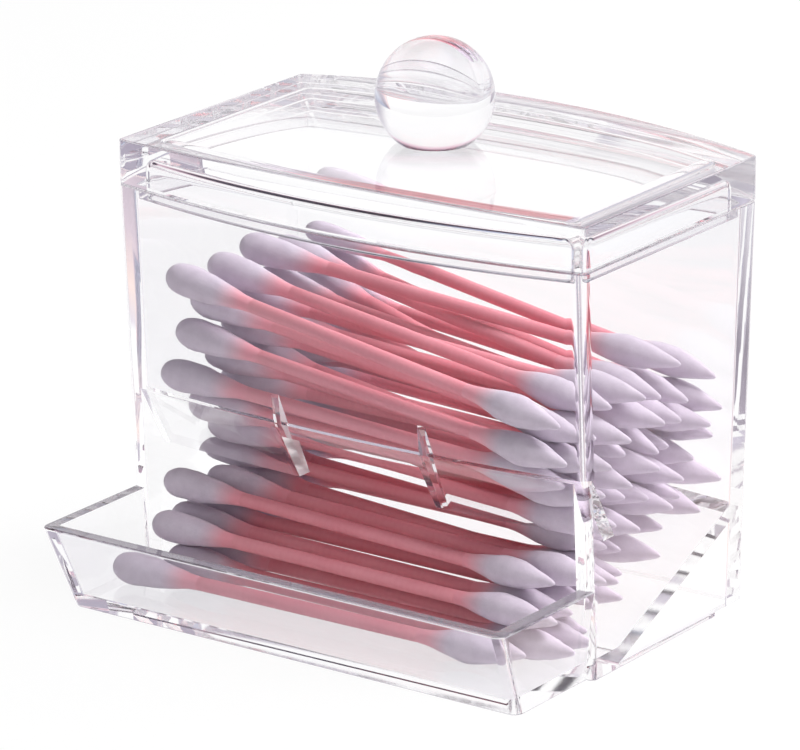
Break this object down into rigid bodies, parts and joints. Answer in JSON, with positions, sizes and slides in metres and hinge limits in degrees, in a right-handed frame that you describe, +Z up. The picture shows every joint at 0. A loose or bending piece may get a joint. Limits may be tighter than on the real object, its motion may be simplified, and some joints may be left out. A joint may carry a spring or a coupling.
{
  "type": "cotton swab dispenser",
  "caption": "Clear moulded box with a front tray, a lift-off lid with a ball knob, and cotton swabs lying in the box and the tray.",
  "frame": {"origin": "middle of the overall plan on the table", "axes": "+Z up, tray towards -Y, swabs lie along X"},
  "size_m": [0.087, 0.0742, 0.0895],
  "materials": {
    "clear_plastic": "clear polished",
    "clear_knob": "clear polished, solid ball",
    "swab": "pink stick with white cotton ends"
  },
  "bodies": {
    "box": {"body": "clear_plastic", "swab_01": "swab", "swab_02": "swab", "swab_03": "swab", "swab_04": "swab", "swab_05": "swab", "swab_06": "swab", "swab_07": "swab", "swab_08": "swab", "swab_09": "swab", "swab_10": "swab", "swab_11": "swab", "swab_12": "swab", "swab_13": "swab", "swab_14": "swab", "swab_15": "swab", "swab_16": "swab", "swab_17": "swab", "swab_18": "swab", "swab_19": "swab", "swab_20": "swab", "swab_21": "swab", "swab_22": "swab", "swab_23": "swab", "swab_24": "swab", "swab_25": "swab", "swab_26": "swab", "swab_27": "swab", "swab_28": "swab", "swab_29": "swab", "swab_30": "swab", "swab_31": "swab", "swab_32": "swab", "swab_33": "swab", "swab_34": "swab", "swab_35": "swab", "swab_36": "swab", "swab_37": "swab", "swab_38": "swab", "swab_39": "swab", "swab_40": "swab", "swab_41": "swab", "swab_42": "swab", "swab_43": "swab", "swab_44": "swab", "swab_45": "swab", "swab_46": "swab", "swab_47": "swab", "swab_48": "swab", "swab_49": "swab", "swab_50": "swab"},
    "lid": {"lid": "clear_plastic", "ball_knob": "clear_knob"}
  },
  "joints": [
    {"name": "lid_lift", "type": "slide", "parent": "box", "child": "lid", "axis": [0, 0, 1], "range_m": [0, 0.04]}
  ]
}
